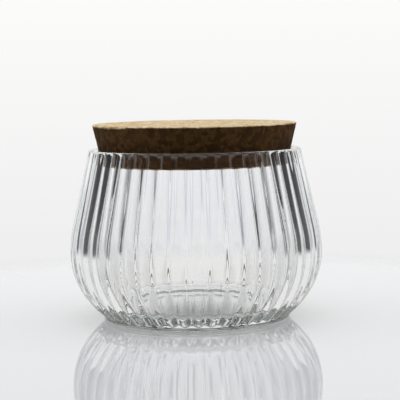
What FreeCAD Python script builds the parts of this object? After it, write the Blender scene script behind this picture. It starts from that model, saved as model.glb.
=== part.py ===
import FreeCAD, Part
import math
import os

# A squat ribbed glass jar with a tapered cork stopper.
# Millimetres, +Z up, origin on the floor under the axis of the jar.

# Outline of the jar, taken over the crests of its ribs
jar_height = 70.6
rim_radius = 44.1
belly_radius = 52.5
belly_height = 28.0
shoulder_arc_share = 1.22
heel_turn_angle = 54.2

# Ribs on the outside of the glass
rib_count = 48
rib_depth = 1.05
rib_root_depth = 0.4

# Plain foot that the ribs run down into
foot_radius = 39.2
foot_band_height = 2.0
foot_round = 1.8
foot_top_share = 0.62
standing_ring_width = 6.9
base_recess_depth = 0.9

# Inside of the jar
wall_thickness = 4.4
floor_thickness = 7.5
floor_corner_radius = 6.0

# Rounded lip of the jar
lip_thickness = 4.15
lip_round = 1.3

# Cork stopper
cork_thickness = 17.2
cork_stand_height = 10.3
cork_taper_angle = 13.0
cork_edge_round = 0.45

# Gap between the cork and the lip that it rests on
seat_clearance = 0.2

# How far a cutter reaches past the face that it opens
overrun = 5.0

# Heights of the sections of the ribbed wall, as shares of the way from the foot to the lip
wall_station_shares = (0.0, 0.03, 0.07, 0.13, 0.21, 0.31, 0.42, 0.54, 0.67, 0.8, 0.9, 1.0)

# Sections of the lip: the share of its turn at each one, and of the rib depth that is left there
lip_turn_shares = (0.0, 0.25, 0.5, 0.75, 1.0)
lip_rib_shares = (1.0, 0.85, 0.6, 0.4, 0.3)

origin = FreeCAD.Vector(0, 0, 0)
upward = FreeCAD.Vector(0, 0, 1)
whole_turn = 360
quarter_turn = math.pi / 2
half_pitch = math.pi / rib_count


def at(radius, height):
    """A point of a profile, in the plane of the X and Z axes."""
    return FreeCAD.Vector(radius, 0, height)


def on_ring(radius, turn, height):
    """A point at a radius and an angle about the axis of the jar."""
    return FreeCAD.Vector(radius * math.cos(turn), radius * math.sin(turn), height)


def line(start, end):
    """A straight edge of a profile."""
    return Part.LineSegment(start, end).toShape()


def off(centre, radius, turn):
    """The point of a profile at a distance from a centre, in a direction above the horizontal."""
    return centre + at(radius * math.cos(turn), radius * math.sin(turn))


def arc(centre, radius, start_turn, end_turn):
    """An arc of a profile about a centre, between two directions above the horizontal."""
    middle_turn = (start_turn + end_turn) / 2
    ends = [off(centre, radius, turn) for turn in (start_turn, middle_turn, end_turn)]
    return Part.Arc(*ends).toShape()


def spin(edges):
    """The solid that a closed profile sweeps about the axis of the jar."""
    return Part.Face(Part.Wire(edges)).revolve(origin, upward, whole_turn)


def lean_from(centre, radius, point):
    """The inward lean of a straight side that leaves an arc smoothly and runs up to a point."""
    reach = point.x - centre.x
    rise = point.z - centre.z
    return math.atan2(rise, reach) - math.acos(radius / math.hypot(reach, rise))


# Heel arc, upright at the belly and turning in through its angle down to the plain foot
heel_drop = belly_height - foot_band_height
heel_arc_radius = heel_drop / math.sin(math.radians(heel_turn_angle))
heel_centre = at(belly_radius - heel_arc_radius, belly_height)

# Shoulder arc, upright at the belly and running out into the straight side
shoulder_arc_radius = (jar_height - belly_height) * shoulder_arc_share
shoulder_centre = at(belly_radius - shoulder_arc_radius, belly_height)
side_lean = lean_from(shoulder_centre, shoulder_arc_radius, at(rim_radius, jar_height))
side_start = off(shoulder_centre, shoulder_arc_radius, side_lean)


def wall_at(height):
    """Radius of the wall over the crests at a height, and how far it slopes there from upright."""
    if height > side_start.z:
        return side_start.x - (height - side_start.z) * math.tan(side_lean), side_lean
    heel = height < belly_height
    centre = heel_centre if heel else shoulder_centre
    radius = heel_arc_radius if heel else shoulder_arc_radius
    slope = math.asin((height - belly_height) / radius)
    return centre.x + radius * math.cos(slope), slope


def rib_ring(crest_radius, depth, height):
    """A closed level section of the jar: one arc for each rib, with a sharp valley between neighbours."""
    arcs = []
    for number in range(rib_count):
        middle = 2 * half_pitch * number
        before = on_ring(crest_radius - depth, middle - half_pitch, height)
        crest = on_ring(crest_radius, middle, height)
        after = on_ring(crest_radius - depth, middle + half_pitch, height)
        arcs.append(Part.Arc(before, crest, after).toShape())
    return Part.Wire(arcs)


# Ribbed wall, from inside the foot up to where the lip begins to turn
lip_height = jar_height - lip_round
lip_start_height = lip_height + lip_round * math.sin(side_lean)
wall_start_height = foot_band_height - rib_root_depth
wall_rings = []
for share in wall_station_shares:
    height = wall_start_height + (lip_start_height - wall_start_height) * share
    crest_radius, slope = wall_at(height)
    wall_rings.append(rib_ring(crest_radius, rib_depth / math.cos(slope), height))
ribbed_wall = Part.makeLoft(wall_rings, True, False)

# Lip, where the ribs flatten as the glass turns in to the top
lip_centre = at(wall_at(lip_start_height)[0] - lip_round * math.cos(side_lean), lip_height)
lip_rings = []
for turn_share, depth_share in zip(lip_turn_shares, lip_rib_shares):
    edge_point = off(lip_centre, lip_round, side_lean + (quarter_turn - side_lean) * turn_share)
    lip_rings.append(rib_ring(edge_point.x, depth_share * rib_depth / math.cos(side_lean), edge_point.z))
lip = Part.makeLoft(lip_rings, True, False)

# Foot, a plain disc with a rounded lower edge
foot_top_height = floor_thickness * foot_top_share
foot_round_centre = at(foot_radius - foot_round, foot_round)
foot = spin([
    line(at(0, 0), at(foot_round_centre.x, 0)),
    arc(foot_round_centre, foot_round, -quarter_turn, 0),
    line(at(foot_radius, foot_round), at(foot_radius, foot_top_height)),
    line(at(foot_radius, foot_top_height), at(0, foot_top_height)),
    line(at(0, foot_top_height), at(0, 0)),
])

# Inside of the jar: floor, rounded corner, heel, shoulder, straight neck and rounded mouth
inner_heel_radius = heel_arc_radius - wall_thickness
inner_shoulder_radius = shoulder_arc_radius - wall_thickness
corner_height = floor_thickness + floor_corner_radius
corner_turn = -math.asin((belly_height - corner_height) / (inner_heel_radius - floor_corner_radius))
corner_centre = off(heel_centre, inner_heel_radius - floor_corner_radius, corner_turn)
mouth_radius = rim_radius - lip_thickness
mouth_centre = at(mouth_radius + lip_round, lip_height)
neck_lean = lean_from(shoulder_centre, inner_shoulder_radius + lip_round, mouth_centre)
neck_start = off(shoulder_centre, inner_shoulder_radius, neck_lean)
neck_end = off(mouth_centre, -lip_round, neck_lean)
hollow_top_height = jar_height + overrun
hollow = spin([
    line(at(0, floor_thickness), at(corner_centre.x, floor_thickness)),
    arc(corner_centre, floor_corner_radius, -quarter_turn, corner_turn),
    arc(heel_centre, inner_heel_radius, corner_turn, 0),
    arc(shoulder_centre, inner_shoulder_radius, 0, neck_lean),
    line(neck_start, neck_end),
    arc(mouth_centre, lip_round, math.pi + neck_lean, quarter_turn),
    line(at(mouth_centre.x, jar_height), at(mouth_centre.x, hollow_top_height)),
    line(at(mouth_centre.x, hollow_top_height), at(0, hollow_top_height)),
    line(at(0, hollow_top_height), at(0, floor_thickness)),
])

# Shallow dome under the base, so that the jar stands on a ring
base_recess_radius = foot_round_centre.x - standing_ring_width
dome_radius = (base_recess_radius ** 2 + base_recess_depth ** 2) / (2 * base_recess_depth)
dome = Part.makeSphere(dome_radius, at(0, base_recess_depth - dome_radius))

glass_jar = foot.fuse([ribbed_wall, lip]).cut([hollow, dome]).removeSplitter()

# Cork stopper, a tapered disc that rests on the inner edge of the lip
cork_slope = math.tan(math.radians(cork_taper_angle))
cork_top_height = jar_height + cork_stand_height
cork_top_radius = mouth_radius - seat_clearance + (cork_top_height - lip_height) * cork_slope
cork_bottom_radius = cork_top_radius - cork_thickness * cork_slope
cork_foot = at(0, cork_top_height - cork_thickness)
cork_blank = Part.makeCone(cork_bottom_radius, cork_top_radius, cork_thickness, cork_foot)
cork_rims = [edge for edge in cork_blank.Edges if isinstance(edge.Curve, Part.Circle)]
cork_stopper = cork_blank.makeFillet(cork_edge_round, cork_rims)

os.makedirs("parts", exist_ok=True)
for name, shape in (("glass_jar", glass_jar), ("cork_stopper", cork_stopper)):
    shape.exportStep("parts/" + name + ".step")
    print(name, shape.isValid(), len(shape.Solids), len(shape.Faces), round(shape.Volume), shape.BoundBox)
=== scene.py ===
import math

import bpy
import numpy as np
from mathutils import Matrix


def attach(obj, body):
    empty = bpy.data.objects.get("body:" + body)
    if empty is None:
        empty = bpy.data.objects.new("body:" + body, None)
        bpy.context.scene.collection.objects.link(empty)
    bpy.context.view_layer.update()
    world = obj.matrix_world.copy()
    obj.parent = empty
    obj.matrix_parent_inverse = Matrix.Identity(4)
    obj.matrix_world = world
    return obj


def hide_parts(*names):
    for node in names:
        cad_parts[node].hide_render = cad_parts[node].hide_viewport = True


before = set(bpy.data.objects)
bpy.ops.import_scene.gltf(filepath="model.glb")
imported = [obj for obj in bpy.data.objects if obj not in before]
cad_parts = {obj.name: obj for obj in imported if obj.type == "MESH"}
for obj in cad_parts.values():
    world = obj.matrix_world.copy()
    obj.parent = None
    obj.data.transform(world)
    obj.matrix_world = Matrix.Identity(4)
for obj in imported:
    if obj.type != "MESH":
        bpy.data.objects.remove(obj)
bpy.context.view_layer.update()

# A squat ribbed glass jar with a cork stopper, on a glossy white board.
# Sizes are in millimetres, as in the part's source, and become metres in each mesh and pattern.
MM = 0.001

# Glass jar
JAR_HEIGHT = 70.6
RIM_RADIUS = 44.1
BELLY_RADIUS = 52.5
BELLY_HEIGHT = 28.0
SHOULDER_ARC_SHARE = 1.22
HEEL_TURN = math.radians(54.2)
FOOT_RADIUS = 39.2
FOOT_BAND_HEIGHT = 2.0
FOOT_ROUND = 1.8
STANDING_RING_WIDTH = 6.9
BASE_RECESS_DEPTH = 0.9
WALL_THICKNESS = 4.4
FLOOR_THICKNESS = 7.5
FLOOR_CORNER_RADIUS = 6.0
LIP_THICKNESS = 4.15
LIP_ROUND = 1.3

# Ribs of the glass. From crest to valley, the rounded crown ends at one share of the way
# and the straight flank at another.
RIB_COUNT = 48
RIB_DEPTH = 1.05
RIB_CROWN_SHARE = 0.55
RIB_FLANK_SHARE = 0.82

# Share of the rib depth that is left at each share of the lip's turn
LIP_TURN_SHARES = (0.0, 0.25, 0.5, 0.75, 1.0)
LIP_RIB_SHARES = (1.0, 0.85, 0.6, 0.4, 0.3)

# Cork stopper
CORK_THICKNESS = 17.2
CORK_STAND_HEIGHT = 10.3
CORK_TAPER = math.radians(13.0)
CORK_EDGE_ROUND = 0.45
SEAT_CLEARANCE = 0.2

# Relief of the cork: the width of its granules and of the finer crumbs in them, the share of
# that width over which a groove opens, and the seed that scatters them
GRANULE_SIZE, GRANULE_GROOVE_SHARE, GRANULE_SEED = 2.4, 0.22, 11
CRUMB_SIZE, CRUMB_GROOVE_SHARE, CRUMB_SEED = 0.9, 0.3, 12

# Depths of the relief: the two kinds of groove, the step between granules, and the pit of a lost one
GRANULE_GROOVE_DEPTH = 0.10
CRUMB_GROOVE_DEPTH = 0.04
GRANULE_STEP_DEPTH = 0.05
PIT_DEPTH = 0.22

# Share of granules that are lost, share of the width over which their pit deepens, and share of the
# relief that the sanded faces keep
LOST_GRANULE_SHARE = 0.1
PIT_SLOPE_SHARE = 0.5
SANDED_RELIEF_SHARE = 0.15

# Board under the jar: radii of its rings, and how far it lies below the foot so that they don't touch
BOARD_RADII = (20.0, 60.0, 100.0, 140.0, 185.0, 230.0)
BOARD_DROP = 0.05

# Points round the glass where it is smooth and where it is ribbed, round the cork and round the board
SMOOTH_COLUMNS = 240
RIBBED_COLUMNS = RIB_COUNT * 20
CORK_COLUMNS = 720
BOARD_COLUMNS = 384

# Camera, fitted to the outlines in the photograph, with its focal length and pan in pixels of it
PHOTO_WIDTH = 400
FOCAL_PIXELS = 1386
PAN_PIXELS = 4.58
SENSOR_WIDTH = 36.0
CAMERA_DISTANCE = 576
CAMERA_HEIGHT = 101.4
CAMERA_SWING = math.radians(-0.6)
CAMERA_TILT = math.radians(5.22)
CAMERA_ROLL = math.radians(-0.87)

# Light crosses many faces of glass before it leaves the jar
GLASS_BOUNCES = 32
MIRROR_BOUNCES = 16

# Studio as the glass sees it, by degrees round from straight behind the jar: level of light, and blue
# in it. White paper stands behind, a dark panel at each side, and the front is pale.
GLASS_ZONES = (
    (8, 0.96, 1.0), (22, 0.86, 1.08), (29, 0.74, 1.08), (36, 0.35, 1.08),
    (41, 0.03, 1.08), (92, 0.03, 1.08), (104, 0.45, 1.08), (120, 0.9, 1.0),
)

# Studio that lights the cork and the board, by the same degrees
SOFT_ZONES = ((50, 0.55), (75, 0.95), (114, 0.95), (136, 0.06))

# Levels of light in the rest of the studio, and blue in it
DARK_ROOM = (0.04, 1.075)
PALE_GROUND = (0.8, 1.0125)
CEILING_IN_GLASS = 0.7
CEILING_ON_CORK = 2.0

# Where parts of the studio begin and where they are full, as the rise of a direction of length 1
CEILING_RISE = (0.72, 0.8)
PAPER_RISE = (-0.12, 0.06)
SHEET_TOP_RISE = (0.1, 0.2)
GROUND_RISE = (-0.09, -0.13)
MIRRORED_GROUND_RISE = (0.26, 0.2)

# The sheet stands taller straight behind the jar: by how much, and between which degrees that ends
TALL_SHEET_RISE = 0.16
TALL_SHEET_DEGREES = (8, 16)

# How far a direction of length 1 points straight back where mirrored paper begins and where it is full
MIRRORED_SHEET_DEPTH = (0.8, 0.9)

WHOLE_TURN = 2 * math.pi
HALF_TURN_DEGREES = 180
QUARTER_TURN = math.pi / 2
HALF_PITCH = math.pi / RIB_COUNT


def linear(code, alpha=1.0):
    """An sRGB hex colour as the linear values that shaders take."""
    parts = [int(code[i:i + 2], 16) / 255 for i in (1, 3, 5)]
    return tuple(c / 12.92 if c <= 0.04045 else ((c + 0.055) / 1.055) ** 2.4 for c in parts) + (alpha,)


def light(level, blue=1.0):
    """A level of light as a colour, where 1 is white, with its blue multiplied."""
    return (level, level, level * blue, 1.0)


def add_node(tree, kind, inputs=None, **settings):
    """Adds a node with its settings, and gives each input a value or a link from another node's output."""
    made = tree.nodes.new(kind)
    for name, value in settings.items():
        setattr(made, name, value)
    for name, value in (inputs or {}).items():
        if isinstance(value, bpy.types.NodeSocket):
            tree.links.new(value, made.inputs[name])
        else:
            made.inputs[name].default_value = value
    return made


def set_stops(ramp, stops):
    """Gives a colour ramp its stops, pairs of a position and a colour, from the first to the last."""
    for stop, (position, colour) in zip(ramp.elements, (stops[0], stops[-1])):
        stop.position, stop.color = position, colour
    for position, colour in stops[1:-1]:
        ramp.elements.new(position).color = colour


def new_tree(owner):
    """The empty node tree of a material or a world."""
    owner.use_nodes = True
    owner.node_tree.nodes.clear()
    return owner.node_tree


def new_piece(name, points, face_sets, material):
    """A smooth mesh object at the origin, from points in millimetres and sets of faces.

    The faces of one set have equal corner counts, and each row of a set lists the corners of one face.
    """
    mesh = bpy.data.meshes.new(name)
    corners = np.concatenate([faces.ravel() for faces in face_sets]).astype(np.int32)
    counts = np.concatenate([np.full(len(faces), faces.shape[1]) for faces in face_sets])
    starts = np.concatenate([[0], np.cumsum(counts)[:-1]]).astype(np.int32)
    mesh.vertices.add(len(points))
    mesh.vertices.foreach_set("co", (points * MM).astype(np.float32).ravel())
    mesh.loops.add(len(corners))
    mesh.loops.foreach_set("vertex_index", corners)
    mesh.polygons.add(len(counts))
    mesh.polygons.foreach_set("loop_start", starts)
    mesh.polygons.foreach_set("use_smooth", np.ones(len(counts), bool))
    mesh.update(calc_edges=True)
    mesh.validate()
    mesh.materials.append(material)
    made = bpy.data.objects.new(name, mesh)
    bpy.context.scene.collection.objects.link(made)
    return made


def band_faces(first, rows, columns):
    """Quads between neighbouring rows of a closed band, numbered row by row from a first index."""
    row = np.arange(rows - 1)[:, None] * columns + first
    here = np.arange(columns)[None, :]
    after = (here + 1) % columns
    quads = np.stack([row + here, row + after, row + columns + after, row + columns + here], -1)
    return quads.reshape(-1, 4)


def fan_faces(pole, ring_first, columns, ring_after):
    """Triangles between a pole and the ring beside it; ring_after says that the ring is the later one."""
    here = ring_first + np.arange(columns)
    after = ring_first + (np.arange(columns) + 1) % columns
    tip = np.full(columns, pole)
    return np.stack([tip, after, here] if ring_after else [here, after, tip], -1)


def seam_faces(coarse_first, coarse, fine_first, fine, fine_after):
    """Flat faces between a ring of few points and one of many.

    Each face has one coarse edge and its share of the fine edges; fine_after says that the fine ring is
    the later one.
    """
    ratio = fine // coarse
    here = np.arange(coarse)
    low = np.stack([coarse_first + here, coarse_first + (here + 1) % coarse], -1)
    steps = fine_first + (here[:, None] * ratio + np.arange(ratio + 1)[None, :]) % fine
    if fine_after:
        return np.concatenate([low, steps[:, ::-1]], 1)
    return np.concatenate([steps, low[:, ::-1]], 1)


def turns(columns):
    """Even angles once round the axis of the jar."""
    return np.arange(columns) / columns * WHOLE_TURN


def spun(radius, height, columns):
    """Rings of points: the radius and height of each row, turned about the axis of the jar.

    A row has one radius and height all round, or one for each column.
    """
    turn = turns(columns)
    shape = (len(radius), columns)
    radius, height = (
        np.broadcast_to(np.reshape(part, (len(part), -1)), shape) for part in (radius, height)
    )
    return np.stack([radius * np.cos(turn), radius * np.sin(turn), height], -1)


def lean_from(centre, radius, point):
    """The inward lean of a straight side that leaves an arc smoothly and runs up to a point."""
    reach, rise = point[0] - centre[0], point[1] - centre[1]
    return math.atan2(rise, reach) - math.acos(radius / math.hypot(reach, rise))


def arc_rows(centre, radius, start, end, rows):
    """Points of a profile on an arc about a centre, evenly between two directions above the horizontal."""
    turn = np.linspace(start, end, rows)
    return np.stack([centre[0] + radius * np.cos(turn), centre[1] + radius * np.sin(turn)], -1)


# Profile of the jar over the crests of its ribs: heel arc, shoulder arc and straight side
heel_arc = (BELLY_HEIGHT - FOOT_BAND_HEIGHT) / math.sin(HEEL_TURN)
heel_centre = (BELLY_RADIUS - heel_arc, BELLY_HEIGHT)
shoulder_arc = (JAR_HEIGHT - BELLY_HEIGHT) * SHOULDER_ARC_SHARE
shoulder_centre = (BELLY_RADIUS - shoulder_arc, BELLY_HEIGHT)
side_lean = lean_from(shoulder_centre, shoulder_arc, (RIM_RADIUS, JAR_HEIGHT))
side_start_radius = shoulder_centre[0] + shoulder_arc * math.cos(side_lean)
side_start_height = BELLY_HEIGHT + shoulder_arc * math.sin(side_lean)
lip_height = JAR_HEIGHT - LIP_ROUND
lip_start_height = lip_height + LIP_ROUND * math.sin(side_lean)
mouth_radius = RIM_RADIUS - LIP_THICKNESS

# Heights of the stopper where it sits in the mouth
cork_top = JAR_HEIGHT + CORK_STAND_HEIGHT
cork_bottom = cork_top - CORK_THICKNESS


def wall_at(height):
    """Radius over the crests and slope from upright, at a height.

    Below the belly the wall is the heel arc, above it the shoulder arc, and then a straight line. On an
    arc the sine of the slope is the height from the belly over the arc's radius, kept short of 1.
    """
    steepest = 0.99
    radius = np.where(height < BELLY_HEIGHT, heel_arc, shoulder_arc)
    slope = np.arcsin(np.clip((height - BELLY_HEIGHT) / radius, -steepest, steepest))
    on_arc = BELLY_RADIUS - radius + radius * np.cos(slope)
    on_side = side_start_radius - (height - side_start_height) * math.tan(side_lean)
    straight = height > side_start_height
    return np.where(straight, on_side, on_arc), np.where(straight, side_lean, slope)


def rib_radius(crest, depth, turn):
    """Distance from the axis to a rib, at an angle from its crest.

    The slope grows evenly over the rounded crown, stays even on the flank and dies away in the rounded
    valley.
    """
    way = np.abs(turn) / HALF_PITCH
    whole = (1 + RIB_FLANK_SHARE - RIB_CROWN_SHARE) / 2
    crown = way ** 2 / (2 * RIB_CROWN_SHARE)
    flank = way - RIB_CROWN_SHARE / 2
    valley = whole - (1 - way) ** 2 / (2 * (1 - RIB_FLANK_SHARE))
    drop = np.select([way < RIB_CROWN_SHARE, way < RIB_FLANK_SHARE], [crown, flank], valley)
    return crest - depth * drop / whole


def ribbed_wall_radius(height, turn):
    """Distance from the axis to the ribbed wall, at a height and an angle from the nearest crest.

    The ribs are equally deep all the way up, measured square to the wall.
    """
    crest, slope = wall_at(height)
    return rib_radius(crest, RIB_DEPTH / np.cos(slope), turn)


def rib_root_height(turn):
    """Height at which the ribbed wall comes out of the foot, found for each angle by halving a span."""
    below, above, halvings = 1.0, 6.0, 40
    low = np.full_like(turn, FOOT_BAND_HEIGHT - below)
    high = np.full_like(turn, FOOT_BAND_HEIGHT + above)
    for _ in range(halvings):
        middle = (low + high) / 2
        outside = ribbed_wall_radius(middle, turn) > FOOT_RADIUS
        low, high = np.where(outside, low, middle), np.where(outside, middle, high)
    return high


def jar_base():
    """Rings of the dome under the base, a cap of a sphere, out to the ring that the jar stands on."""
    rows, first_share = 10, 0.12
    recess_radius = FOOT_RADIUS - FOOT_ROUND - STANDING_RING_WIDTH
    dome_radius = (recess_radius ** 2 + BASE_RECESS_DEPTH ** 2) / (2 * BASE_RECESS_DEPTH)
    reach = np.linspace(first_share, 1, rows) * recess_radius
    height = BASE_RECESS_DEPTH - dome_radius + np.sqrt(dome_radius ** 2 - reach ** 2)
    return spun(reach, height, SMOOTH_COLUMNS)


def jar_outside():
    """Rings of the outside of the jar, from the edge of the foot up over the lip.

    The edge of the foot is a quarter arc, and its band is upright. Rows of the wall share out the height
    between the rib roots and the lip, closer together near the foot, and their radius follows the ribs.
    The lip is an arc that turns in to the top while its ribs flatten.
    """
    edge_rows, wall_rows, lip_rows = 7, 47, 9
    band_shares = np.array([[0.4], [0.8]])
    crowding = 1.25
    from_crest = (turns(RIBBED_COLUMNS) + HALF_PITCH) % (2 * HALF_PITCH) - HALF_PITCH

    edge = arc_rows((FOOT_RADIUS - FOOT_ROUND, FOOT_ROUND), FOOT_ROUND, -QUARTER_TURN, 0, edge_rows)
    root = rib_root_height(from_crest)
    band = FOOT_ROUND + (root - FOOT_ROUND) * band_shares

    climb = np.linspace(0, 1, wall_rows)[:, None] ** crowding
    wall_heights = root + (lip_start_height - root) * climb
    wall_radii = np.maximum(ribbed_wall_radius(wall_heights, from_crest), FOOT_RADIUS)

    lip_share = np.linspace(0, 1, lip_rows)[1:, None]
    lip_turn = side_lean + (QUARTER_TURN - side_lean) * lip_share
    lip_reach = wall_at(np.array(lip_start_height))[0] - LIP_ROUND * math.cos(side_lean)
    lip_depth = np.interp(lip_share, LIP_TURN_SHARES, LIP_RIB_SHARES) * RIB_DEPTH / math.cos(side_lean)
    lip_radii = rib_radius(lip_reach + LIP_ROUND * np.cos(lip_turn), lip_depth, from_crest)
    lip_heights = lip_height + LIP_ROUND * np.sin(lip_turn)

    return np.concatenate([
        spun(edge[:, 0], edge[:, 1], RIBBED_COLUMNS),
        spun(np.full_like(band, FOOT_RADIUS), band, RIBBED_COLUMNS),
        spun(wall_radii, wall_heights, RIBBED_COLUMNS),
        spun(lip_radii, lip_heights, RIBBED_COLUMNS),
    ])


def jar_inside():
    """Rings of the inside of the jar: rounded mouth, straight neck, shoulder, heel, corner and flat floor.

    The shoulder and heel are arcs about the centres of the outer ones, smaller by the wall, and each arc
    runs smoothly into the next.
    """
    mouth_rows, neck_rows, shoulder_rows, heel_rows, corner_rows, floor_rows = 10, 12, 16, 16, 12, 8
    last_floor_share = 0.1
    inner_heel, inner_shoulder = heel_arc - WALL_THICKNESS, shoulder_arc - WALL_THICKNESS
    corner_height = FLOOR_THICKNESS + FLOOR_CORNER_RADIUS
    corner_reach = inner_heel - FLOOR_CORNER_RADIUS
    corner_turn = -math.asin((BELLY_HEIGHT - corner_height) / corner_reach)
    corner_centre = (heel_centre[0] + corner_reach * math.cos(corner_turn), corner_height)
    mouth_centre = (mouth_radius + LIP_ROUND, lip_height)
    neck_lean = lean_from(shoulder_centre, inner_shoulder + LIP_ROUND, mouth_centre)

    mouth = arc_rows(mouth_centre, LIP_ROUND, QUARTER_TURN, math.pi + neck_lean, mouth_rows)
    shoulder = arc_rows(shoulder_centre, inner_shoulder, neck_lean, 0, shoulder_rows)
    neck = mouth[-1] + (shoulder[0] - mouth[-1]) * np.linspace(0, 1, neck_rows)[1:-1, None]
    heel = arc_rows(heel_centre, inner_heel, 0, corner_turn, heel_rows)[1:]
    corner = arc_rows(corner_centre, FLOOR_CORNER_RADIUS, corner_turn, -QUARTER_TURN, corner_rows)[1:]
    floor_reach = corner_centre[0] * np.linspace(1, last_floor_share, floor_rows)[1:]
    floor = np.stack([floor_reach, np.full_like(floor_reach, FLOOR_THICKNESS)], -1)
    profile = np.concatenate([mouth, neck, shoulder, heel, corner, floor])
    return spun(profile[:, 0], profile[:, 1], SMOOTH_COLUMNS)


def jar_surface(material):
    """The closed skin of the jar, from the dome under its base up over the ribs and lip to its inner floor.

    Two flat rings join the few columns of the smooth zones to the many of the ribbed one, and a fan of
    triangles closes each end.
    """
    base, outside, inside = jar_base(), jar_outside(), jar_inside()
    poles = [[0, 0, BASE_RECESS_DEPTH], [0, 0, FLOOR_THICKNESS]]
    points = np.concatenate([poles, *(rings.reshape(-1, 3) for rings in (base, outside, inside))])
    base_first = len(poles)
    outside_first = base_first + len(base) * SMOOTH_COLUMNS
    inside_first = outside_first + len(outside) * RIBBED_COLUMNS
    base_last_row = outside_first - SMOOTH_COLUMNS
    outside_last_row = inside_first - RIBBED_COLUMNS
    inside_last_row = len(points) - SMOOTH_COLUMNS
    return new_piece("ribbed_glass_jar", points, [
        fan_faces(0, base_first, SMOOTH_COLUMNS, True),
        band_faces(base_first, len(base), SMOOTH_COLUMNS),
        seam_faces(base_last_row, SMOOTH_COLUMNS, outside_first, RIBBED_COLUMNS, True),
        band_faces(outside_first, len(outside), RIBBED_COLUMNS),
        seam_faces(inside_first, SMOOTH_COLUMNS, outside_last_row, RIBBED_COLUMNS, False),
        band_faces(inside_first, len(inside), SMOOTH_COLUMNS),
        fan_faces(1, inside_last_row, SMOOTH_COLUMNS, False),
    ], material)


def granules(points, size, seed):
    """Cells of pressed granules: every cube of a lattice has a seed, and a cell is what lies nearest to one.

    Gives for each point the distances to the nearest seed and the next-nearest, in granule sizes, and a
    number that belongs to the cell.
    """
    margin, far = 2, 9.0
    draw = np.random.default_rng(seed)
    place = points / size
    low = np.floor(place.min(0)).astype(int) - margin
    span = np.floor(place.max(0)).astype(int) + margin + 1 - low
    seeds = draw.random(tuple(span) + (3,))
    tones = draw.random(tuple(span))
    cube = np.floor(place).astype(int) - low
    nearest = np.full(len(points), far)
    second = np.full(len(points), far)
    tone = np.zeros(len(points))
    for step in np.ndindex(3, 3, 3):
        at = cube + np.array(step) - 1
        index = tuple(at.T)
        gap = np.linalg.norm(at + low + seeds[index] - place, axis=1)
        closer = gap < nearest
        second = np.where(closer, nearest, np.minimum(second, gap))
        tone = np.where(closer, tones[index], tone)
        nearest = np.where(closer, gap, nearest)
    return nearest, second, tone


def cork_profile():
    """Radii and heights of the stopper, from near the middle of its bottom to near the middle of its top.

    The side leans out by the taper, and an arc that touches the side and the face rounds each edge.
    """
    under_rows, low_rows, side_rows, high_rows, over_rows = 14, 5, 46, 6, 26
    first_share = 0.04
    slope = math.tan(CORK_TAPER)
    top_radius = mouth_radius - SEAT_CLEARANCE + (cork_top - lip_height) * slope
    bottom_radius = top_radius - CORK_THICKNESS * slope
    inset, shift = CORK_EDGE_ROUND / math.cos(CORK_TAPER), CORK_EDGE_ROUND * slope
    low_centre = (bottom_radius - inset + shift, cork_bottom + CORK_EDGE_ROUND)
    high_centre = (top_radius - inset - shift, cork_top - CORK_EDGE_ROUND)

    low_edge = arc_rows(low_centre, CORK_EDGE_ROUND, -QUARTER_TURN, -CORK_TAPER, low_rows)
    high_edge = arc_rows(high_centre, CORK_EDGE_ROUND, -CORK_TAPER, QUARTER_TURN, high_rows)
    under_reach = low_centre[0] * np.linspace(first_share, 1, under_rows)[:-1]
    over_reach = high_centre[0] * np.linspace(1, first_share, over_rows)[1:]
    under = np.stack([under_reach, np.full_like(under_reach, cork_bottom)], -1)
    side = low_edge[-1] + (high_edge[0] - low_edge[-1]) * np.linspace(0, 1, side_rows)[1:-1, None]
    over = np.stack([over_reach, np.full_like(over_reach, cork_top)], -1)
    return np.concatenate([under, low_edge, side, high_edge, over])


def cork_surface(material):
    """The closed skin of the stopper: a tapered disc with rounded edges, turned about the axis.

    Each point then sinks along the profile's normal into the grooves between pressed granules, and where
    a granule has dropped out, by up to a few tenths of a millimetre. The sanded faces sink far less.
    """
    profile = cork_profile()
    along = np.gradient(profile, axis=0)
    normal = np.stack([along[:, 1], -along[:, 0]], -1) / np.linalg.norm(along, axis=1, keepdims=True)
    skin = spun(profile[:, 0], profile[:, 1], CORK_COLUMNS).reshape(-1, 3)
    outward = spun(normal[:, 0], normal[:, 1], CORK_COLUMNS).reshape(-1, 3)

    near, next_near, tone = granules(skin, GRANULE_SIZE, GRANULE_SEED)
    crumb_near, crumb_next, _ = granules(skin, CRUMB_SIZE, CRUMB_SEED)
    groove = np.clip(1 - (next_near - near) / GRANULE_GROOVE_SHARE, 0, 1)
    crumb_groove = np.clip(1 - (crumb_next - crumb_near) / CRUMB_GROOVE_SHARE, 0, 1)
    pit = (tone > 1 - LOST_GRANULE_SHARE) * np.clip((next_near - near) / PIT_SLOPE_SHARE, 0, 1)
    relief = (
        GRANULE_GROOVE_DEPTH * groove + CRUMB_GROOVE_DEPTH * crumb_groove
        + GRANULE_STEP_DEPTH * tone + PIT_DEPTH * pit
    )
    is_side = np.repeat(np.clip(normal[:, 0], 0, 1), CORK_COLUMNS)
    depth = relief * (SANDED_RELIEF_SHARE + (1 - SANDED_RELIEF_SHARE) * is_side)

    poles = [[0, 0, cork_bottom], [0, 0, cork_top]]
    points = np.concatenate([poles, skin - outward * depth[:, None]])
    first_row, last_row = len(poles), len(points) - CORK_COLUMNS
    return new_piece("cork_stopper_disc", points, [
        fan_faces(0, first_row, CORK_COLUMNS, True),
        band_faces(first_row, len(profile), CORK_COLUMNS),
        fan_faces(1, last_row, CORK_COLUMNS, False),
    ], material)


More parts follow.
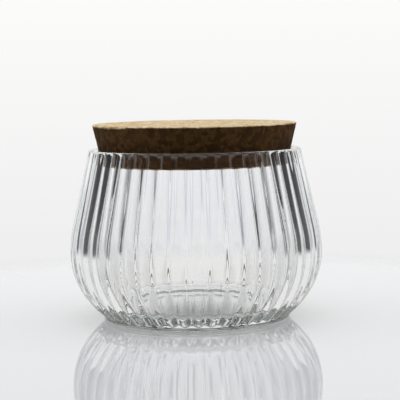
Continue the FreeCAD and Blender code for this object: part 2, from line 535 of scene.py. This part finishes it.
def pressed_glass():
    """Soda-lime glass, pressed in a mould.

    The eye sees clear glass with sharp reflections, faintly green where it is thick, and a slow ripple in
    its skin that makes the stripes waver.
    """
    ripple_width, ripple_depth = 9 * MM, 0.05 * MM
    made = bpy.data.materials.new("pressed_soda_lime_glass")
    tree = new_tree(made)
    where = add_node(tree, "ShaderNodeTexCoord").outputs["Object"]
    ripple = add_node(tree, "ShaderNodeTexNoise", {
        "Vector": where, "Scale": 1 / ripple_width, "Detail": 1.5, "Roughness": 0.4,
    })
    skin = add_node(tree, "ShaderNodeBump", {
        "Height": ripple.outputs["Fac"], "Strength": 0.5, "Distance": ripple_depth,
    })
    glass = add_node(tree, "ShaderNodeBsdfPrincipled", {
        "Base Color": linear("#ffffff"), "Roughness": 0.0, "IOR": 1.52, "Transmission Weight": 1.0,
        "Normal": skin.outputs["Normal"],
    })
    depth = add_node(tree, "ShaderNodeVolumeAbsorption", {"Color": linear("#dfe9e4"), "Density": 8.0})
    add_node(tree, "ShaderNodeOutputMaterial", {
        "Surface": glass.outputs["BSDF"], "Volume": depth.outputs["Volume"],
    })
    return made


def pressed_cork():
    """Agglomerated cork: granules pressed into a block, turned to a taper and sanded on both flat faces.

    The eye sees a dark brown side of granules in slightly different browns with darker seams, its darkness
    partly painted shade, pale faces with crumbled edges, and a somewhat paler band of painted light below the
    lip.
    """
    granule_width, grit_width, patch_width = 1.9 * MM, 0.5 * MM, 22 * MM
    wander_width, wander_reach = 3 * MM, 1.4 * MM
    grit_in_tone = 0.55
    patch_from, patch_full = 0.52, 0.66
    crumbled_least, crumbled_most = 1.6 * MM, 2.5 * MM
    sanded_from, sanded_full = 8.9 * MM, 9.1 * MM
    # Share and fade of the painted light on the side below the lip
    painted_light_share, painted_light_fade = 0.45, 1.5
    seam_width_share, seam_shade = 0.09, 0.7
    pit_depth = 0.3 * MM

    made = bpy.data.materials.new("agglomerated_cork")
    tree = new_tree(made)
    where = add_node(tree, "ShaderNodeTexCoord").outputs["Object"]

    # Granules with wandering outlines, each with a tone of its own and grit over it
    wander = add_node(tree, "ShaderNodeTexNoise", {
        "Vector": where, "Scale": 1 / wander_width, "Detail": 2.0,
    })
    shaken = add_node(tree, "ShaderNodeVectorMath", {
        0: wander.outputs["Color"], 1: (wander_reach,) * 3, 2: where,
    }, operation="MULTIPLY_ADD").outputs["Vector"]
    cells = add_node(tree, "ShaderNodeTexVoronoi", {"Vector": shaken, "Scale": 1 / granule_width})
    gaps = add_node(tree, "ShaderNodeTexVoronoi", {
        "Vector": shaken, "Scale": 1 / granule_width,
    }, feature="DISTANCE_TO_EDGE")
    grit = add_node(tree, "ShaderNodeTexNoise", {
        "Vector": where, "Scale": 1 / grit_width, "Detail": 3.0, "Roughness": 0.6,
    }).outputs["Fac"]
    cell_tone = add_node(tree, "ShaderNodeSeparateColor", {"Color": cells.outputs["Color"]}).outputs["Red"]
    tone = add_node(tree, "ShaderNodeMath", {
        0: grit, 1: grit_in_tone, 2: cell_tone,
    }, operation="MULTIPLY_ADD").outputs["Value"]
    # Browns of the side: partly the cork's own darker side, and darker still as painted shade, since little
    # light reaches it
    side = add_node(tree, "ShaderNodeValToRGB", {"Fac": tone})
    set_stops(side.color_ramp, [
        (0.15, linear("#392713")), (0.6, linear("#452f18")), (0.9615, linear("#553c20")),
    ])
    face = add_node(tree, "ShaderNodeValToRGB", {"Fac": tone})
    set_stops(face.color_ramp, [
        (0.24, linear("#9c774b")), (0.34, linear("#c3a172")), (0.95, linear("#e9d6b2")),
    ])

    # Pale faces, told by their distance from the cork's middle height, with edges that crumble in patches
    height = add_node(tree, "ShaderNodeSeparateXYZ", {"Vector": where}).outputs["Z"]
    from_middle = add_node(tree, "ShaderNodeMath", {
        0: height, 1: (cork_top - CORK_THICKNESS / 2) * MM,
    }, operation="SUBTRACT").outputs["Value"]
    off_middle = add_node(tree, "ShaderNodeMath", {0: from_middle}, operation="ABSOLUTE").outputs["Value"]
    patches = add_node(tree, "ShaderNodeTexNoise", {
        "Vector": where, "Scale": 1 / patch_width, "Detail": 1.0,
    })
    chipping = add_node(tree, "ShaderNodeMapRange", {
        "Value": patches.outputs["Fac"], "From Min": patch_from, "From Max": patch_full,
        "To Min": crumbled_least, "To Max": crumbled_most,
    })
    crumbled = add_node(tree, "ShaderNodeMath", {
        0: grit, 1: chipping.outputs["Result"], 2: off_middle,
    }, operation="MULTIPLY_ADD").outputs["Value"]
    # The faces show the cork's own pale colour, and the rest shows the side's browns with their painted shade
    face_over_shaded_side = add_node(tree, "ShaderNodeMapRange", {
        "Value": crumbled, "From Min": sanded_from, "From Max": sanded_full,
    })

    # Painted light: the side is paler below the lip, where light comes in through the glass
    painted_light_below_lip = add_node(tree, "ShaderNodeMapRange", {
        "Value": height, "To Min": painted_light_share, "To Max": 0.0,
        "From Min": (lip_height - painted_light_fade) * MM, "From Max": (lip_height + painted_light_fade) * MM,
    })
    flank = add_node(tree, "ShaderNodeMix", {
        "Factor": painted_light_below_lip.outputs["Result"], "A": side.outputs["Color"], "B": linear("#7f5730"),
    }, data_type="RGBA")

    # Both skins together, darker in the seams between granules
    skin = add_node(tree, "ShaderNodeMix", {
        "Factor": face_over_shaded_side.outputs["Result"], "A": flank.outputs["Result"], "B": face.outputs["Color"],
    }, data_type="RGBA")
    seam = add_node(tree, "ShaderNodeMapRange", {
        "Value": gaps.outputs["Distance"], "From Min": 0.0, "From Max": seam_width_share,
        "To Min": seam_shade, "To Max": 1.0,
    })
    colour = add_node(tree, "ShaderNodeMix", {
        "Factor": 1.0, "A": skin.outputs["Result"], "B": seam.outputs["Result"],
    }, data_type="RGBA", blend_type="MULTIPLY")
    pits = add_node(tree, "ShaderNodeBump", {"Height": grit, "Strength": 0.6, "Distance": pit_depth})
    cork = add_node(tree, "ShaderNodeBsdfPrincipled", {
        "Base Color": colour.outputs["Result"], "Roughness": 0.9, "Specular IOR Level": 0.1,
        "Normal": pits.outputs["Normal"],
    })
    add_node(tree, "ShaderNodeOutputMaterial", {"Surface": cork.outputs["BSDF"]})
    return made


def white_board():
    """White acrylic sheet, cast and polished.

    The eye sees a pale, glossy board with a clear mirror image of what stands on it, which fades out into
    the white surroundings. A weak glow of its own keeps it pale.
    """
    fade_from, fade_full = 150 * MM, 225 * MM
    # Middle, reach and level of the painted shadow in the glow that the glass shows
    painted_shadow_middle, painted_shadow_from, painted_shadow_full = (0, -36 * MM, 0), 8 * MM, 40 * MM
    painted_shadow_level, open_level = 0.4, 0.93
    glow_share = 0.97

    made = bpy.data.materials.new("glossy_white_acrylic")
    tree = new_tree(made)
    where = add_node(tree, "ShaderNodeTexCoord").outputs["Object"]
    acrylic = add_node(tree, "ShaderNodeBsdfPrincipled", {
        "Base Color": linear("#b6b7ba"), "Roughness": 0.01, "IOR": 1.45,
        "Emission Color": linear("#e6e7e9"), "Emission Strength": 0.19,
    })

    # Through the glass the board glows as pale as the background, with a painted shadow under the front of
    # the foot
    from_front = add_node(tree, "ShaderNodeVectorMath", {
        0: where, 1: painted_shadow_middle,
    }, operation="DISTANCE").outputs["Value"]
    painted_shadow = add_node(tree, "ShaderNodeMapRange", {
        "Value": from_front, "From Min": painted_shadow_from, "From Max": painted_shadow_full,
        "To Min": painted_shadow_level, "To Max": open_level,
    }, interpolation_type="SMOOTHSTEP")
    glow = add_node(tree, "ShaderNodeEmission", {
        "Color": linear("#f6f6f6"), "Strength": painted_shadow.outputs["Result"],
    })
    through_glass = add_node(tree, "ShaderNodeLightPath").outputs["Is Transmission Ray"]
    mostly = add_node(tree, "ShaderNodeMath", {
        0: through_glass, 1: glow_share,
    }, operation="MULTIPLY").outputs["Value"]
    lit = add_node(tree, "ShaderNodeMixShader", {
        "Fac": mostly, 1: acrylic.outputs["BSDF"], 2: glow.outputs["Emission"],
    })

    # The board ends without an edge
    reach = add_node(tree, "ShaderNodeVectorMath", {0: where}, operation="LENGTH").outputs["Value"]
    fade = add_node(tree, "ShaderNodeMapRange", {
        "Value": reach, "From Min": fade_from, "From Max": fade_full,
    }, interpolation_type="SMOOTHSTEP")
    nothing = add_node(tree, "ShaderNodeBsdfTransparent")
    board = add_node(tree, "ShaderNodeMixShader", {
        "Fac": fade.outputs["Result"], 1: lit.outputs["Shader"], 2: nothing.outputs["BSDF"],
    })
    add_node(tree, "ShaderNodeOutputMaterial", {"Surface": board.outputs["Shader"]})
    return made


def board_surface(material):
    """A flat disc under the jar: rings about its axis, with a fan of triangles in the middle."""
    rows = len(BOARD_RADII)
    rings = spun(np.array(BOARD_RADII[::-1]), np.full(rows, -BOARD_DROP), BOARD_COLUMNS)
    points = np.concatenate([[[0, 0, -BOARD_DROP]], rings.reshape(-1, 3)])
    return new_piece("white_board", points, [
        band_faces(1, rows, BOARD_COLUMNS),
        fan_faces(0, 1 + (rows - 1) * BOARD_COLUMNS, BOARD_COLUMNS, False),
    ], material)


def view_through_glass(tree, aim, share):
    """The studio as rays that leave the glass see it.

    The zones stand round the jar, under a dark room that begins higher straight behind, and over pale
    ground.
    """
    zones = add_node(tree, "ShaderNodeValToRGB", {"Fac": share})
    set_stops(zones.color_ramp, [
        (degrees / HALF_TURN_DEGREES, light(level, blue)) for degrees, level, blue in GLASS_ZONES
    ])
    tall_from, tall_end = (degrees / HALF_TURN_DEGREES for degrees in TALL_SHEET_DEGREES)
    taller = add_node(tree, "ShaderNodeMapRange", {
        "Value": share, "From Min": tall_from, "From Max": tall_end,
        "To Min": TALL_SHEET_RISE, "To Max": 0.0,
    })
    rise = add_node(tree, "ShaderNodeMath", {
        0: aim["Z"], 1: taller.outputs["Result"],
    }, operation="SUBTRACT").outputs["Value"]
    above_sheet = add_node(tree, "ShaderNodeMapRange", {
        "Value": rise, "From Min": SHEET_TOP_RISE[0], "From Max": SHEET_TOP_RISE[1],
    }, interpolation_type="SMOOTHSTEP")
    sheet = add_node(tree, "ShaderNodeMix", {
        "Factor": above_sheet.outputs["Result"], "A": zones.outputs["Color"], "B": light(*DARK_ROOM),
    }, data_type="RGBA")
    ground = add_node(tree, "ShaderNodeMapRange", {
        "Value": aim["Z"], "From Min": GROUND_RISE[0], "From Max": GROUND_RISE[1],
    })
    return add_node(tree, "ShaderNodeMix", {
        "Factor": ground.outputs["Result"], "A": sheet.outputs["Result"], "B": light(*PALE_GROUND),
    }, data_type="RGBA").outputs["Result"]


def view_in_mirror(tree, aim, paper):
    """The studio as mirrored rays see it: paper behind the jar and low down all round, and a dark room."""
    behind = add_node(tree, "ShaderNodeMapRange", {
        "Value": aim["Y"], "From Min": MIRRORED_SHEET_DEPTH[0], "From Max": MIRRORED_SHEET_DEPTH[1],
    })
    low = add_node(tree, "ShaderNodeMapRange", {
        "Value": aim["Z"], "From Min": MIRRORED_GROUND_RISE[0], "From Max": MIRRORED_GROUND_RISE[1],
    })
    either = add_node(tree, "ShaderNodeMath", {
        0: behind.outputs["Result"], 1: low.outputs["Result"],
    }, operation="MAXIMUM").outputs["Value"]
    return add_node(tree, "ShaderNodeMix", {
        "Factor": either, "A": light(*DARK_ROOM), "B": paper,
    }, data_type="RGBA").outputs["Result"]


def studio_surroundings():
    """A plain soft studio, in which each kind of ray sees the part that it needs.

    The camera sees white paper. Rays in the glass see paper behind the jar, a dark panel at each side and
    a pale front, which draw its stripes. Mirrored rays see paper behind the jar and low down, and a dark
    room elsewhere. Light on the cork and the board comes from the sides and from overhead.
    """
    world = bpy.data.worlds.new("studio")
    bpy.context.scene.world = world
    tree = new_tree(world)
    way = add_node(tree, "ShaderNodeTexCoord").outputs["Generated"]
    aim = add_node(tree, "ShaderNodeSeparateXYZ", {"Vector": way}).outputs
    ray = add_node(tree, "ShaderNodeLightPath").outputs

    # Share of the half turn from straight behind the jar to straight in front, alike on both sides
    aside = add_node(tree, "ShaderNodeMath", {0: aim["X"]}, operation="ABSOLUTE").outputs["Value"]
    bearing = add_node(tree, "ShaderNodeMath", {
        0: aside, 1: aim["Y"],
    }, operation="ARCTAN2").outputs["Value"]
    share = add_node(tree, "ShaderNodeMath", {
        0: bearing, 1: math.pi,
    }, operation="DIVIDE").outputs["Value"]

    # Diffuse Depth is 0 until a ray has left the cork or the board, and the mix holds it to 1 after that
    soft = add_node(tree, "ShaderNodeValToRGB", {"Fac": share})
    set_stops(soft.color_ramp, [
        (degrees / HALF_TURN_DEGREES, light(level)) for degrees, level in SOFT_ZONES
    ])
    around = add_node(tree, "ShaderNodeMix", {
        "Factor": ray["Diffuse Depth"],
        "A": view_through_glass(tree, aim, share), "B": soft.outputs["Color"],
    }, data_type="RGBA")

    # White paper, greyer towards the board. A ray that glass lets through also counts as glossy, so a
    # mirrored one is glossy and not transmitted.
    paper_rise = add_node(tree, "ShaderNodeMapRange", {
        "Value": aim["Z"], "From Min": PAPER_RISE[0], "From Max": PAPER_RISE[1],
    })
    paper = add_node(tree, "ShaderNodeMix", {
        "Factor": paper_rise.outputs["Result"], "A": linear("#efefef"), "B": linear("#fcfcfb"),
    }, data_type="RGBA").outputs["Result"]
    mirrored = add_node(tree, "ShaderNodeMath", {
        0: ray["Is Glossy Ray"], 1: ray["Is Transmission Ray"],
    }, operation="SUBTRACT", use_clamp=True).outputs["Value"]
    walls = add_node(tree, "ShaderNodeMix", {
        "Factor": mirrored, "A": around.outputs["Result"], "B": view_in_mirror(tree, aim, paper),
    }, data_type="RGBA")

    # Soft light overhead, dimmer where glass shows it
    overhead = add_node(tree, "ShaderNodeMapRange", {
        "Value": aim["Z"], "From Min": CEILING_RISE[0], "From Max": CEILING_RISE[1],
    }, interpolation_type="SMOOTHSTEP")
    ceiling = add_node(tree, "ShaderNodeMix", {
        "Factor": ray["Diffuse Depth"], "A": light(CEILING_IN_GLASS), "B": light(CEILING_ON_CORK),
    }, data_type="RGBA")
    studio = add_node(tree, "ShaderNodeMix", {
        "Factor": overhead.outputs["Result"], "A": walls.outputs["Result"], "B": ceiling.outputs["Result"],
    }, data_type="RGBA")

    seen = add_node(tree, "ShaderNodeMix", {
        "Factor": ray["Is Camera Ray"], "A": studio.outputs["Result"], "B": paper,
    }, data_type="RGBA")
    glow = add_node(tree, "ShaderNodeBackground", {"Color": seen.outputs["Result"], "Strength": 1.0})
    add_node(tree, "ShaderNodeOutputWorld", {"Surface": glow.outputs["Background"]})


def photo_camera():
    """A long lens in front of the jar and a little above it, with a tilt and a slight swing, pan and roll."""
    lens = bpy.data.cameras.new("photo_camera")
    lens.sensor_width = SENSOR_WIDTH
    lens.lens = FOCAL_PIXELS / PHOTO_WIDTH * SENSOR_WIDTH
    lens.clip_start, lens.clip_end = 0.01, 20
    made = bpy.data.objects.new("photo_camera", lens)
    bpy.context.scene.collection.objects.link(made)
    made.matrix_world = (
        Matrix.Rotation(CAMERA_SWING, 4, "Z")
        @ Matrix.Translation((0, -CAMERA_DISTANCE * MM, CAMERA_HEIGHT * MM))
        @ Matrix.Rotation(-math.atan(PAN_PIXELS / FOCAL_PIXELS), 4, "Z")
        @ Matrix.Rotation(QUARTER_TURN - CAMERA_TILT, 4, "X")
        @ Matrix.Rotation(CAMERA_ROLL, 4, "Z")
    )
    bpy.context.scene.camera = made


photo_camera()
studio_surroundings()

jar = jar_surface(pressed_glass())
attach(jar, "jar")
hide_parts("glass_jar")

stopper = cork_surface(pressed_cork())
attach(stopper, "stopper")
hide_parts("cork_stopper")

board_surface(white_board())

scene = bpy.context.scene
scene.view_settings.view_transform = "Standard"
scene.cycles.max_bounces = GLASS_BOUNCES
scene.cycles.transmission_bounces = GLASS_BOUNCES
scene.cycles.glossy_bounces = MIRROR_BOUNCES
scene.cycles.transparent_max_bounces = MIRROR_BOUNCES
